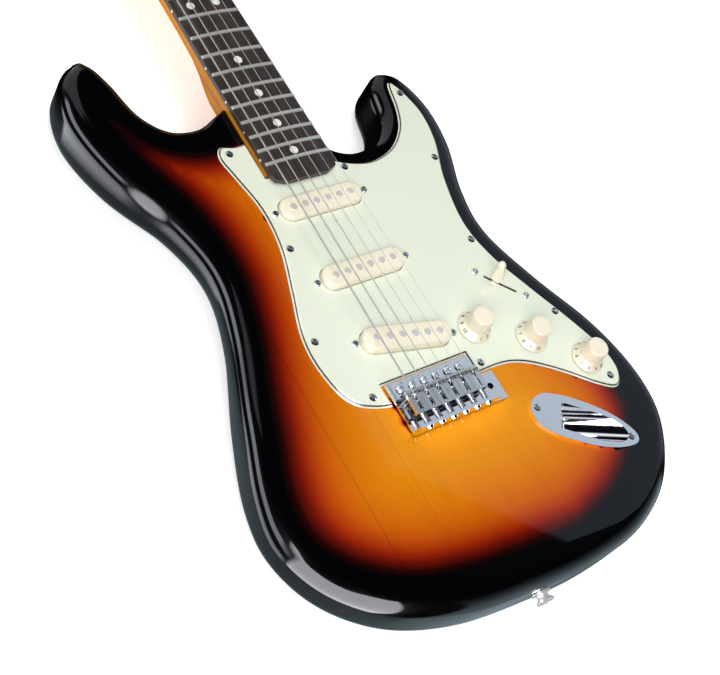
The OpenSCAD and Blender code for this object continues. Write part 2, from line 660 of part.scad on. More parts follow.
module saddle_screws() {
    color("dimgray") for (i = side, x = [-3.4, 3.4]) translate([saddle_x(i) + x, -0.4, plate_top + EPS])
        cylinder(h = saddle_top - plate_top - 0.6, r = 1);
}
module intonation_screws() {
    color("silver") for (i = side) translate([saddle_x(i), -24 - EPS, intonation_z])
        rotate([90, 0, 0]) translate([0, 0, 1.6]) screw(1.3, 14.4, 2.6, 1.6, false);
}
module intonation_springs() {
    color("gray") for (i = side) translate([saddle_x(i), -14 - EPS, intonation_z])
        rotate([90, 0, 0]) difference() {
            cylinder(h = -flange_y - 15.2 - 2 * EPS, r = 2.2);
            translate([0, 0, -1]) cylinder(h = 20, r = 1.5);
        }
}
module pivot_screws() {
    color("silver") for (i = side) translate([saddle_x(i), pivot_y, plate_top + 2])
        screw(1.7, 28, 3.3, 1.4, false);
}
module tremolo_springs() {
    z = plate_z - block_d + 5;
    color("gray") for (x = [-21, 0, 21]) {
        rod([x, 10, z], [x, 86, z], 3.6);
        rod([x, 0, z], [x, 10.5, z], 0.6);
        rod([x, 85.5, z], [x, 96.5, z], 0.6);
    }
}
module spring_claw() {
    z = plate_z - block_d + 5;
    color("silver") difference() {
        slab([-27, 27], [96, 97.8], [z - 4, z + 6]);
        for (x = [-21, 0, 21]) rod([x, 90, z], [x, 99, z], 0.7);
        for (x = [-12, 12]) rod([x, 90, 11], [x, 99, 11], 1.8 + EPS);
    }
}
module claw_screws() {
    color("silver") for (x = [-12, 12]) translate([x, 93.4, 11]) rotate([90, 0, 0])
        screw(1.6, 50, 3.4, 2.6, false);
}

// ---------- Strings and hardware ----------

function along(p, i) = let (a = i > 0 ? p[i] - p[i - 1] : p[1] - p[0],
    b = i < len(p) - 1 ? p[i + 1] - p[i] : a, c = a / norm(a) + b / norm(b)) c / norm(c);
// An eight-sided wire through the points p, with radius r[i] at point i
module wire(p, r) {
    skin([for (i = [0:len(p)-1]) let (d = along(p, i), c = cross(d, [0, 0, 1]),
        u = norm(c) > 0.3 ? c / norm(c) : [1, 0, 0])
        [for (k = [0:7]) p[i] + r[i] * (u * cos(45 * k) + cross(d, u) * sin(45 * k))]]);
}
// Each string runs from its ball end, over saddle and nut, and twice round its post
module strings() {
    color("silver") for (i = side) {
        r = string_r[i];
        x = saddle_x(i);
        t = tuner_at(i);
        wind = (post_r + r + 0.05) / cos(15);
        lift = head_top + 7.4 - 0.5 * i;
        over = [nut_x(i), scale_len + 1.7, nut_string_z];
        run = (tree_xy[1] - 3.5 - over[1]) / (t[1] - over[1]);
        tree = [over[0] + (t[0] + wind - over[0]) * run, tree_xy[1] - 3.5,
            head_top + tree_h - r - 0.2];
        path = concat([[x, hole_y, plate_z - 15], [x, hole_y, plate_z - 11.3],
            [x, hole_y, plate_z - 11.02], [x, hole_y, plate_top + 2],
            [x, -1.5, saddle_string_z], [x, 0, saddle_string_z], over], i > 3 ? [tree] : [],
            [for (a = [0:30:540]) [t[0] + wind * cos(a), t[1] + wind * sin(a),
                lift - (2 * r + 0.15) * a / 360]]);
        wire(path, [for (k = [0:len(path)-1]) k < 2 ? 2 : r]);
    }
}
module string_tree() {
    color("silver") translate([tree_xy[0], tree_xy[1], head_top]) {
        difference() {
            translate([-7, -3, tree_h]) cube([14, 6, 1.2]);
            cylinder(h = 12, r = 1.2 + EPS);
        }
        difference() {
            translate([0, 0, EPS]) cylinder(h = tree_h - 2 * EPS, r = 2.3);
            translate([0, 0, -1]) cylinder(h = 12, r = 1.2 + EPS);
        }
        translate([0, 0, tree_h + 2.8 + EPS]) screw(1.2, tree_h + 10, 2.4, 1.6, false);
    }
}
module strap_button() {
    difference() {
        rotate_extrude() polygon([[1.7 + EPS, 0.1], [7.2, 0.1], [7, 1.2], [4.2, 1.8], [3.6, 2.8],
            [4, 4.2], [6.4, 6.4], [6.4, 7.2], [5.8, 7.6], [1.7 + EPS, 7.6]]);
        translate([0, 0, 7.6]) sink(1.7, 3.3, 2);
    }
    translate([0, 0, 7.6]) screw(1.7, 31, 3.3, 2);
}
module strap_buttons() { color("silver") { at_strap_tail() strap_button(); at_strap_horn() strap_button(); } }

module tuner_housings() {
    color("gainsboro") for (i = side) at_tuner(i) difference() {
        slab([-13.5, 6.5], [-8, 12], [head_back - 9.5, head_back - EPS]);
        slab([-12, 5], [-6.5, 10.5], [head_back - 8, head_back + 1]);
        rod([-20, worm_off, worm_z], [-10, worm_off, worm_z], 1.8);
    }
}
module tuner_bushings() {
    color("silver") for (i = side) at_tuner(i) difference() {
        union() {
            translate([0, 0, head_top - 8]) cylinder(h = 8.1, r = 4.9);
            translate([0, 0, head_top + EPS]) cylinder(h = 1.4, r = 6.4);
        }
        translate([0, 0, head_top - 9]) cylinder(h = 20, r = post_r + 0.05);
    }
}
module tuner_button(i) {
    color("silver") at_tuner(i) {
        rod([-22, worm_off, worm_z], [-11, worm_off, worm_z], 1.74);
        rod([-11.01, worm_off, worm_z], [3, worm_off, worm_z], 2);
        translate([-28, worm_off, worm_z]) intersection() {
            rotate([90, 0, 0]) cylinder(h = 6.4, r = 9, center = true);
            translate([-7, -5, -12]) cube([14, 10, 24]);
        }
    }
}
module tuner_post(i) {
    color("silver") at_tuner(i) difference() {
        union() {
            translate([0, 0, head_back - 7]) cylinder(h = head_t + 7 + 11, r = post_r);
            translate([0, 0, head_back - 6.5]) cylinder(h = 3, r = 4.2);
        }
        translate([-0.6, -5, head_top + 8.8]) cube([1.2, 10, 5]);
    }
}

body();
neck();
fingerboard();
frets();
position_dots();
nut();
truss_rod();
neck_plate();
neck_screws();
pickguard();
cover_screws();
pickup_cover(0);  // neck_pickup_cover
pickup_cover(1);  // middle_pickup_cover
pickup_cover(2);  // bridge_pickup_cover
pole_magnets();
pickup_bobbins();
pickup_coils();
machine_screws();
knob(knob_xy[0]);  // volume_knob
knob(knob_xy[1]);  // neck_tone_knob
knob(knob_xy[2]);  // middle_tone_knob
pot_shaft(knob_xy[0]);  // volume_shaft
pot_shaft(knob_xy[1]);  // neck_tone_shaft
pot_shaft(knob_xy[2]);  // middle_tone_shaft
pot_housings();
pot_nuts();
switch_frame();
switch_lever();
switch_tip();
jack_plate();
jack_socket();
wiring();
bridge_plate();
tremolo_block();
saddles();
saddle_screws();
intonation_screws();
intonation_springs();
pivot_screws();
tremolo_springs();
spring_claw();
claw_screws();
back_cover();
strap_buttons();
strings();
string_tree();
tuner_housings();
tuner_bushings();
tuner_button(0);  // tuner_button_1
tuner_button(1);  // tuner_button_2
tuner_button(2);  // tuner_button_3
tuner_button(3);  // tuner_button_4
tuner_button(4);  // tuner_button_5
tuner_button(5);  // tuner_button_6
tuner_post(0);  // tuner_post_1
tuner_post(1);  // tuner_post_2
tuner_post(2);  // tuner_post_3
tuner_post(3);  // tuner_post_4
tuner_post(4);  // tuner_post_5
tuner_post(5);  // tuner_post_6
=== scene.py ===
import math
import bpy
import bmesh
from mathutils import Matrix, Vector
from mathutils.geometry import delaunay_2d_cdt


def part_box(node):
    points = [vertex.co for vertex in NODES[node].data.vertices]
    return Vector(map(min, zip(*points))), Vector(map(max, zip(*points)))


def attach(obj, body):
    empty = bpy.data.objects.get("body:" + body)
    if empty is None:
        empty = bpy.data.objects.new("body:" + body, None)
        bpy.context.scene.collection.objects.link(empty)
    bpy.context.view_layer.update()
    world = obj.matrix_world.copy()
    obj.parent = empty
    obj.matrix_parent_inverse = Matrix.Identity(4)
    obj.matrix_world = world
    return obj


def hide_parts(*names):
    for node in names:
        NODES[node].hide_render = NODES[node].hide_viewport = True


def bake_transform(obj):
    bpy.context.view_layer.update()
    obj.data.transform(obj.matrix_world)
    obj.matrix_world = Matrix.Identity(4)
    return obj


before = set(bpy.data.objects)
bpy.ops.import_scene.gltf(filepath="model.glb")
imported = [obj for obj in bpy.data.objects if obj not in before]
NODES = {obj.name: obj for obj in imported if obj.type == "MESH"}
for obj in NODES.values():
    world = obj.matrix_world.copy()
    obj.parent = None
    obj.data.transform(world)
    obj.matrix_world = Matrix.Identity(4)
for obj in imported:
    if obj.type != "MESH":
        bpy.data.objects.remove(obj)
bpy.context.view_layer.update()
MM = 0.001


# ---------- camera ----------

def make_camera():
    cam = bpy.data.cameras.new("camera")
    cam.sensor_width = 36.0
    cam.lens = 72.08
    cam.clip_start, cam.clip_end = 0.05, 20
    o = bpy.data.objects.new("camera", cam)
    bpy.context.scene.collection.objects.link(o)
    rv = Vector((2.544, -0.586, 0.739))
    m = Matrix.Rotation(rv.length, 3, rv.normalized())   # rows: right, down, forward
    t = Vector((49.74, 35.413, 960.025))
    eye = -(m.transposed() @ t)
    right, down, fwd = Vector(m[0]), Vector(m[1]), Vector(m[2])
    rot = Matrix((right, -down, -fwd)).transposed().to_4x4()
    o.matrix_world = Matrix.Translation((eye + Vector((0, 0, 47))) * MM) @ rot
    bpy.context.scene.camera = o
    return o


make_camera()


# ---------- node materials ----------

class Mat:
    """Small helper that builds one node material."""

    def __init__(self, name):
        self.m = bpy.data.materials.new(name)
        self.m.use_nodes = True
        self.t = self.m.node_tree
        self.t.nodes.clear()
        self.out = self.t.nodes.new("ShaderNodeOutputMaterial")
        self.b = self.t.nodes.new("ShaderNodeBsdfPrincipled")
        self.link(self.b.outputs[0], self.out.inputs[0])

    def link(self, a, b):
        self.t.links.new(a, b)

    def put(self, node, key, v):
        s = node.inputs[key]
        if isinstance(v, bpy.types.NodeSocket):
            self.link(v, s)
        elif isinstance(v, (tuple, list)) and len(v) == 3 and s.type == "RGBA":
            s.default_value = (*v, 1)
        else:
            s.default_value = v

    def node(self, kind, props=None, **inputs):
        n = self.t.nodes.new("ShaderNode" + kind)
        for k, v in (props or {}).items():
            setattr(n, k, v)
        for k, v in inputs.items():
            self.put(n, int(k[1:]) if k[0] == "i" and k[1:].isdigit() else k.replace("_", " "), v)
        return n

    def set(self, **kw):
        for k, v in kw.items():
            self.put(self.b, k.replace("_", " "), v)
        return self

    def coords(self, scale=(1, 1, 1), rot=(0, 0, 0), loc=(0, 0, 0)):
        c = self.node("TexCoord")
        m = self.node("Mapping", Scale=scale, Rotation=rot, Location=loc)
        self.link(c.outputs["Object"], m.inputs["Vector"])
        return m.outputs[0]

    def noise(self, vec, scale, detail=4, rough=0.5, distortion=0.0):
        n = self.node("TexNoise", Vector=vec, Scale=scale, Detail=detail, Roughness=rough,
                      Distortion=distortion)
        return n.outputs["Fac"]

    def ramp(self, fac, stops, interp="LINEAR"):
        n = self.node("ValToRGB")
        n.color_ramp.interpolation = interp
        e = n.color_ramp.elements
        while len(e) < len(stops):
            e.new(0.5)
        for el, (p, c) in zip(e, stops):
            el.position = p
            el.color = (*c, 1) if len(c) == 3 else c
        self.link(fac, n.inputs[0])
        return n.outputs[0]

    def math(self, op, a, b=0.0, clamp=False):
        n = self.node("Math", {"operation": op, "use_clamp": clamp})
        self.put(n, 0, a)
        self.put(n, 1, b)
        return n.outputs[0]

    def mix(self, fac, a, b, mode="MIX"):
        n = self.node("Mix", {"data_type": "RGBA", "blend_type": mode})
        self.put(n, 0, fac)
        self.put(n, 6, a)
        self.put(n, 7, b)
        return n.outputs[2]

    def remap(self, v, a, b, c, d):
        n = self.node("MapRange")
        self.put(n, 0, v)
        for i, x in enumerate((a, b, c, d)):
            n.inputs[i + 1].default_value = x
        return n.outputs[0]

    def bump(self, height, strength=0.2, distance=0.001):
        n = self.node("Bump", Strength=strength, Distance=distance, Height=height)
        return n.outputs[0]


def grey(v):
    return (v, v, v)


def burst_lacquer():
    m = Mat("sunburst_lacquer")
    rim = m.node("Attribute", {"attribute_name": "rim"}).outputs["Fac"]
    v = m.coords()
    pos = m.node("SeparateXYZ", Vector=v)
    # the dark edge is wider at the tail, on the horns and on the treble side
    wide = m.math("ADD", m.remap(pos.outputs[1], -0.06, -0.13, 0.0008, 0.0125),
                  m.math("ADD", m.remap(pos.outputs[1], 0.13, 0.24, 0.0, 0.008),
                         m.remap(pos.outputs[0], 0.05, 0.135, 0.0, 0.016)))
    soft = m.noise(v, 9, 3, 0.5)
    ragged = m.math("MULTIPLY", m.math("SUBTRACT", soft, 0.5), 0.008)
    edge = m.math("ADD", m.math("SUBTRACT", rim, wide), ragged)
    colour = m.ramp(m.math("MULTIPLY", edge, 8.0), [
        (0.11, (0.0006, 0.0007, 0.0010)), (0.15, (0.016, 0.0012, 0.0008)), (0.20, (0.12, 0.004, 0.0006)),
        (0.245, (0.28, 0.014, 0.0008)), (0.30, (0.42, 0.046, 0.001)), (0.38, (0.56, 0.102, 0.0012)),
        (0.52, (0.66, 0.172, 0.002)), (0.70, (0.73, 0.235, 0.003)), (0.92, (0.78, 0.29, 0.004))])
    g1 = m.noise(m.coords((46, 2.4, 46)), 3.0, 7, 0.62, 0.35)
    g2 = m.noise(m.coords((190, 5, 190)), 4.0, 5, 0.7, 0.2)
    grain = m.mix(0.4, m.ramp(g1, [(0.36, grey(0.86)), (0.62, grey(1.0))]),
                  m.ramp(g2, [(0.35, grey(0.80)), (0.6, grey(1.0))]))
    colour = m.mix(0.6, colour, grain, "MULTIPLY")
    # joins between the planks, running along the body
    x = pos.outputs[0]
    for place, dark in ((-0.092, 0.34), (-0.052, 0.2)):
        d = m.math("ABSOLUTE", m.math("SUBTRACT", x, place))
        colour = m.mix(m.remap(d, 0.0, 0.0008, dark, 0.0), colour, (0.2, 0.12, 0.08), "MULTIPLY")
    # the coat, thinner over the light middle
    fine = m.noise(m.coords((1, 1, 1)), 900, 2, 0.5)
    m.set(Base_Color=colour, Roughness=m.remap(fine, 0.3, 0.7, 0.24, 0.34), IOR=1.5,
          Specular_IOR_Level=0.04, Coat_Weight=m.remap(edge, 0.015, 0.06, 1.0, 0.5), Coat_Roughness=0.01,
          Coat_IOR=1.37, Normal=m.bump(g1, 0.006, 0.0004))
    m.put(m.b, "Coat Normal", m.bump(m.noise(v, 40, 1, 0.4), 0.004, 0.0006))
    return m.m


def maple(tint=(0.85, 0.33, 0.02), dark=(0.60, 0.20, 0.01)):
    m = Mat("tinted_maple")
    g = m.noise(m.coords((60, 2.0, 60)), 3.2, 7, 0.6, 0.4)
    fl = m.noise(m.coords((16, 70, 16)), 3.0, 3, 0.5, 0.3)
    c = m.ramp(g, [(0.32, dark), (0.55, tint), (0.75, tuple(min(1, t * 1.12) for t in tint))])
    c = m.mix(0.18, c, m.ramp(fl, [(0.35, grey(0.7)), (0.65, grey(1.0))]), "MULTIPLY")
    m.set(Base_Color=c, Roughness=0.5, Coat_Weight=0.25, Coat_Roughness=0.04, Coat_IOR=1.25,
          Specular_IOR_Level=0.03, Normal=m.bump(g, 0.015, 0.0005))
    return m.m


def rosewood():
    m = Mat("dark_rosewood")
    g = m.noise(m.coords((150, 4, 150)), 3.4, 8, 0.66, 0.5)
    pores = m.noise(m.coords((900, 26, 900)), 3.0, 3, 0.6, 0.0)
    c = m.ramp(g, [(0.3, (0.012, 0.009, 0.008)), (0.5, (0.034, 0.024, 0.020)),
                   (0.7, (0.085, 0.060, 0.048))])
    c = m.mix(m.remap(pores, 0.56, 0.66, 0.0, 0.7), c, (0.002, 0.0015, 0.0015))
    m.set(Base_Color=c, Roughness=m.remap(g, 0.3, 0.7, 0.34, 0.52), Specular_IOR_Level=0.45,
          Normal=m.bump(m.math("SUBTRACT", g, m.math("MULTIPLY", pores, 0.8)), 0.25, 0.0004))
    return m.m


def metal(name, colour=(0.86, 0.86, 0.88), rough=0.06, smudge=0.05, brushed=None, metallic=1.0):
    """Plated or bare metal; under 1, metallic lets some of the soft light show as plain colour."""
    m = Mat(name)
    n = m.noise(m.coords(), 55, 4, 0.6)
    r = m.remap(n, 0.35, 0.7, rough, rough + smudge)
    fine = m.noise(m.coords(brushed or (1, 1, 1)), 480, 3, 0.6)
    m.set(Base_Color=m.mix(m.remap(fine, 0.3, 0.7, 0.0, 0.12), colour, tuple(c * 0.7 for c in colour)),
          Metallic=metallic, Roughness=r, Normal=m.bump(fine, 0.05 if brushed is None else 0.22, 0.0001))
    return m.m


def plastic(name, colour, rough=0.22, mottle=0.06, coat=0.3):
    m = Mat(name)
    n = m.noise(m.coords(), 30, 4, 0.55)
    fine = m.noise(m.coords(), 700, 2, 0.5)
    c = m.mix(m.remap(n, 0.3, 0.7, 0.0, mottle * 4), colour, tuple(x * (1 - mottle) for x in colour))
    m.set(Base_Color=c, Roughness=m.remap(fine, 0.3, 0.7, rough, rough + 0.06), IOR=1.49,
          Coat_Weight=coat, Coat_Roughness=0.08, Subsurface_Weight=0.04,
          Subsurface_Radius=(0.004, 0.003, 0.002), Subsurface_Scale=0.4, Normal=m.bump(fine, 0.03, 0.0001))
    return m.m


def pearl():
    m = Mat("pearl")
    n = m.noise(m.coords(), 260, 3, 0.5, 1.2)
    c = m.ramp(n, [(0.3, (0.62, 0.64, 0.66)), (0.5, (0.86, 0.87, 0.85)), (0.7, (0.93, 0.90, 0.86))])
    m.set(Base_Color=c, Roughness=0.2, Coat_Weight=0.5)
    return m.m


def wound_steel():
    m = Mat("wound_string")
    w = m.node("TexWave", {"wave_type": "BANDS", "bands_direction": "Y"},
               Vector=m.coords(), Scale=420.0, Distortion=0.0)
    # the grooves between the windings are painted darker than the crests: painted shade
    m.set(Base_Color=m.ramp(w.outputs["Fac"], [(0.0, grey(0.16)), (0.6, grey(0.50))]), Metallic=0.45,
          Roughness=0.3, Normal=m.bump(w.outputs["Fac"], 0.5, 0.0001))
    return m.m


M = {
    "burst": burst_lacquer(),
    "maple": maple(),
    "rosewood": rosewood(),
    "pearl": pearl(),
    "wound": wound_steel(),
    "chrome": metal("chrome"),
    "nickel": metal("nickel", (0.80, 0.79, 0.77), 0.14, 0.08),
    "steel": metal("dull_steel", (0.55, 0.55, 0.56), 0.30, 0.12),
    "zinc": metal("zinc_plate", (0.66, 0.66, 0.64), 0.36, 0.1),
    "dark_steel": metal("dark_steel", (0.16, 0.16, 0.17), 0.34, 0.1),
    "screw": metal("screw_heads", (0.50, 0.50, 0.52), 0.16, 0.06),
    "brush": metal("brushed_block", (0.5, 0.5, 0.51), 0.34, 0.1, (200, 4, 4)),
    "copper": metal("enamelled_wire", (0.32, 0.09, 0.04), 0.3, 0.1, (4, 300, 300)),
    "fret": metal("fret_wire", (0.60, 0.60, 0.57), 0.2, 0.08, (6, 200, 200), 0.4),
    "button": metal("strap_button_plate", (0.62, 0.62, 0.64), 0.1, 0.05, None, 0.4),
    "plain": metal("plain_string", (0.48, 0.48, 0.50), 0.26, 0.05, None, 0.4),
    "magnet": metal("magnet_ends", (0.74, 0.72, 0.69), 0.4, 0.1, None, 0.4),
    "mint": plastic("mint_plastic", (0.80, 0.85, 0.70), 0.16, 0.03, 0.6),
    "ply_black": plastic("black_layer", (0.012, 0.012, 0.012), 0.25, 0.05, 0.4),
    "cream": plastic("aged_white_plastic", (0.93, 0.86, 0.68), 0.26, 0.05, 0.35),
    "bone": plastic("bone", (0.85, 0.80, 0.66), 0.35, 0.06, 0.1),
    "black": plastic("black_plastic", (0.015, 0.015, 0.016), 0.4, 0.05, 0.1),
    "cloth_black": plastic("black_cloth", (0.012, 0.012, 0.012), 0.8, 0.2, 0.0),
    "ink": plastic("number_paint", (0.05, 0.05, 0.045), 0.5, 0.0, 0.0),
}


# ---------- mesh helpers ----------

def new_object(name, verts, faces, mats, body="instrument", angle=35, face_mats=None, replaces=()):
    me = bpy.data.meshes.new(name)
    me.from_pydata([tuple(v) for v in verts], [], faces)
    for m in mats:
        me.materials.append(M[m] if isinstance(m, str) else m)
    if face_mats:
        for p, k in zip(me.polygons, face_mats):
            p.material_index = k
    me.update()
    o = bpy.data.objects.new(name, me)
    bpy.context.scene.collection.objects.link(o)
    smooth(o, angle)
    if body:
        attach(o, body)
    if replaces:
        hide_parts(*replaces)
    return o


def smooth(o, angle=35):
    if angle:
        o.data.shade_smooth()
        o.data.set_sharp_from_angle(angle=math.radians(angle))
    return o


def tube(name, path, radius, mat, body="instrument", sides=12):
    """A mesh tube along a list of points; radius is one number or one for each point."""
    pts = [Vector(p) for p in path]
    rad = radius if isinstance(radius, (list, tuple)) else [radius] * len(pts)
    verts, faces = [], []
    ref = None
    for i, p in enumerate(pts):
        d = (pts[min(i + 1, len(pts) - 1)] - pts[max(i - 1, 0)]).normalized()
        if ref is None:
            ref = d.orthogonal().normalized()
        u = (ref - d * ref.dot(d)).normalized()
        ref = u
        w = d.cross(u)
        for k in range(sides):
            a = 2 * math.pi * k / sides
            verts.append(p + (u * math.cos(a) + w * math.sin(a)) * rad[i])
    for i in range(len(pts) - 1):
        for k in range(sides):
            a, b = i * sides + k, i * sides + (k + 1) % sides
            faces.append((a, b, b + sides, a + sides))
    faces.append(tuple(reversed(range(sides))))
    faces.append(tuple(range((len(pts) - 1) * sides, len(pts) * sides)))
    return new_object(name, verts, faces, [mat], body, 50)


def lathe(name, profile, centre, mat, body, steps=64, angle=35, shape=None):
    """An upright turned piece: profile is (radius, height) pairs; shape(ring, angle, r) may ripple r."""
    axis = Vector((0, 0, 1))
    u = axis.orthogonal().normalized()
    w = axis.cross(u)
    c = Vector(centre)
    verts, faces = [], []
    for j, (r, h) in enumerate(profile):
        for k in range(steps):
            a = 2 * math.pi * k / steps
            rr = shape(j, a, r) if shape else r
            verts.append(c + axis * h + (u * math.cos(a) + w * math.sin(a)) * rr)
    for j in range(len(profile) - 1):
        for k in range(steps):
            a, b = j * steps + k, j * steps + (k + 1) % steps
            faces.append((a, b, b + steps, a + steps))
    faces.append(tuple(reversed(range(steps))))
    faces.append(tuple(range((len(profile) - 1) * steps, len(profile) * steps)))
    return new_object(name, verts, faces, [mat], body, angle)


def spline_loop(p, n):
    m = len(p)
    out = []
    for i in range(m):
        a, b, c, d = (Vector(p[(i + k) % m]) for k in (-1, 0, 1, 2))
        for k in range(n):
            t = k / n
            out.append(0.5 * (2 * b + (c - a) * t + (2 * a - 5 * b + 4 * c - d) * t * t
                              + (3 * b - a - 3 * c + d) * t ** 3))
    return out


def normals2(p):
    n = len(p)
    out = []
    for i in range(n):
        d = (p[(i + 1) % n] - p[i - 1]).normalized()
        out.append(Vector((d.y, -d.x)))
    return out


def inside(pt, loop):
    c = False
    n = len(loop)
    for i in range(n):
        a, b = loop[i], loop[(i + 1) % n]
        if (a[1] > pt[1]) != (b[1] > pt[1]):
            crossing = (b[0] - a[0]) * (pt[1] - a[1]) / (b[1] - a[1]) + a[0]
            c ^= pt[0] < crossing
    return c


def seg_dist(pt, a, b):
    ab = b - a
    t = max(0, min(1, (pt - a).dot(ab) / max(ab.length_squared, 1e-12)))
    return (pt - a - ab * t).length


def faces_up(verts, t):
    a, b, c = (Vector(verts[k]) for k in t[:3])
    return (b - a).cross(c - a).z > 0


def bevel(o, width, segments=2, angle=35):
    b = o.modifiers.new("soft_edges", "BEVEL")
    b.width = width
    b.segments = segments
    b.limit_method = "ANGLE"
    b.angle_limit = math.radians(angle)
    b.harden_normals = False
    return o


def paint(node, *mats):
    o = NODES[node]
    o.data.materials.clear()
    for m in mats:
        o.data.materials.append(M[m])
    return o


def join_bevelled(node, mat, width, segments=2, angle=35):
    return bevel(paint(node, mat), width, segments, angle)


# ---------- body ----------

OUTLINE = [(-18, 252), (-33, 246), (-53, 239), (-74, 245), (-88, 262), (-95, 290),
           (-103, 308.5), (-115.5, 312.5), (-131.5, 298), (-139, 265), (-130, 220), (-109, 170),
           (-102, 130), (-112.5, 86), (-136, 28), (-151.5, -18), (-153.5, -54), (-138, -91),
           (-105, -121), (-57.5, -139), (0, -146), (50, -147.5), (97, -141.5), (138, -121),
           (167.5, -84), (175, -44), (165, 4), (140.5, 56), (124.5, 100), (127.5, 136), (142, 178),
           (145, 215), (135, 245), (118, 253), (105, 241), (96, 213), (78, 196), (54, 193),
           (36, 200), (29, 216), (27, 234), (20, 247), (4, 252)]
BACK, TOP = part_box("body")[0].z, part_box("body")[1].z
EDGE_R, EDGE_DEPTH = 0.0125, 0.0118     # how far the rounding reaches inwards, and downwards
HEEL_R = 0.0025                        # both of them at the neck's heel
STEPS = 9                              # rings in each quarter round
PITCH = 0.0075                         # between the points of the flat parts


def arm(p):
    """How far the front falls away under the player's forearm."""
    s = Vector((-0.86, -0.51)).dot(p - Vector((-0.098, -0.035)))
    w = math.exp(-((Vector((0.51, -0.86)).dot(p - Vector((-0.135, -0.035)))) / 0.085) ** 2)
    return 0.0095 * w * max(0.0, min(1.0, s / 0.055)) ** 1.6


def belly(p):
    """How far the back is scooped against the player's side."""
    s = Vector((-1.0, 0.05)).dot(p - Vector((-0.040, 0.1)))
    w = math.exp(-((p.y - 0.120) / 0.078) ** 2)
    return 0.016 * w * max(0.0, min(1.0, s / 0.075)) ** 1.7


def rounding(edge):
    """Inward reach and depth of the rounding at each point of the outline."""
    n = len(edge)
    reach = []
    for i in range(n):
        # it shrinks where the outline turns tightly: k is the curvature
        a, b, c = edge[i - 3], edge[i], edge[(i + 3) % n]
        turn = (b - a).x * (c - b).y - (b - a).y * (c - b).x
        k = 2 * turn / max((b - a).length * (c - b).length * (c - a).length, 1e-12)
        reach.append(min(EDGE_R, 0.82 / k) if k > 1 else EDGE_R)
    for _ in range(12):
        reach = [min(reach[i], (reach[i - 1] + reach[i] * 2 + reach[(i + 1) % n]) / 4 + 0.0004)
                 for i in range(n)]
    # and round the neck's heel, where the neck plate sits
    heel = [max(HEEL_R, HEEL_R + 0.3 * ((p - Vector((0, 0.238))).length - 0.040)) for p in edge]
    return [min(a, b) for a, b in zip(reach, heel)], [min(EDGE_DEPTH, b) for b in heel]


def inner_points(inner, edge):
    """Staggered points inside the rounding, each with its distance from the outline."""
    n = len(edge)
    lo = [min(p[k] for p in inner) for k in (0, 1)]
    hi = [max(p[k] for p in inner) for k in (0, 1)]
    grid = []
    y, row = lo[1], 0
    while y < hi[1]:
        x = lo[0] + (PITCH / 2 if row % 2 else 0)
        while x < hi[0]:
            q = Vector((x, y))
            if inside(q, inner):
                d = min(seg_dist(q, edge[i], edge[(i + 2) % n]) for i in range(0, n, 2))
                if d > EDGE_R + 0.004:
                    grid.append((q, d))
            x += PITCH
        y += PITCH * 0.866
        row += 1
    return grid


def make_body():
    edge = [p * MM for p in spline_loop(OUTLINE, 9)]
    n = len(edge)
    nrm = normals2(edge)
    reach, depth = rounding(edge)
    verts, rings = [], []
    rim = []     # distance from the outline, which the sunburst follows

    def ring(k, upper):
        a = math.radians(90 * k / STEPS)
        ids = []
        for i in range(n):
            inward, down = reach[i] * (1 - math.cos(a)), depth[i] * (1 - math.sin(a))
            p = edge[i] - nrm[i] * inward
            ids.append(len(verts))
            verts.append((p.x, p.y, TOP - arm(p) - down if upper else BACK + belly(p) + down))
            rim.append(inward - 0.004 * (1 - math.sin(a)))
        rings.append(ids)

    for k in range(STEPS, -1, -1):
        ring(k, False)
    for k in range(0, STEPS + 1):
        ring(k, True)
    faces = []
    for lo, hi in zip(rings, rings[1:]):
        for i in range(n):
            j = (i + 1) % n
            faces.append((lo[i], lo[j], hi[j], hi[i]))

    grid = inner_points([Vector(verts[i][:2]) for i in rings[-1]], edge)
    for upper, src in ((True, rings[-1]), (False, rings[0])):
        pts = [Vector(verts[i][:2]) for i in src] + [g[0] for g in grid]
        edges = [(i, (i + 1) % n) for i in range(n)]
        vo, _, fo, vmap, _, _ = delaunay_2d_cdt(pts, edges, [list(range(n))], 1, 1e-7)
        ids = []
        for k, v in enumerate(vo):
            src_ids = vmap[k]
            if src_ids and src_ids[0] < n:
                ids.append(src[src_ids[0]])
            else:
                ids.append(len(verts))
                verts.append((v.x, v.y, TOP - arm(v) if upper else BACK + belly(v)))
                rim.append(grid[src_ids[0] - n][1] if src_ids else 0.02)
        for f in fo:
            t = [ids[k] for k in f]
            if faces_up(verts, t) != upper:
                t.reverse()
            faces.append(tuple(t))
    o = new_object("body_shell", verts, faces, ["burst"], None, 50)
    at = o.data.attributes.new("rim", "FLOAT", "POINT")
    at.data.foreach_set("value", rim)
    carve(o)
    smooth(o, 40)
    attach(o, "instrument")
    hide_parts("body")
    return o


def prism(pts, z0, z1):
    n = len(pts)
    v = [(p[0] * MM, p[1] * MM, z0 * MM) for p in pts] + [(p[0] * MM, p[1] * MM, z1 * MM) for p in pts]
    f = [tuple(reversed(range(n))), tuple(range(n, 2 * n))]
    f += [(i, (i + 1) % n, (i + 1) % n + n, i + n) for i in range(n)]
    return v, f


def rect(x0, x1, y0, y1):
    return [(x0, y0), (x1, y0), (x1, y1), (x0, y1)]


def oblong(l, w, centre, turn=0, n=10):
    out = []
    for s, a0 in ((1, -90), (-1, 90)):
        for k in range(n + 1):
            a = math.radians(a0 + 180 * k / n)
            out.append((s * (l - w) / 2 + w / 2 * math.cos(a), w / 2 * math.sin(a)))
    c, s = math.cos(math.radians(turn)), math.sin(math.radians(turn))
    return [(centre[0] + x * c - y * s, centre[1] + x * s + y * c) for x, y in out]


JACK_XY, JACK_TURN = (97, -61.5), -37.5


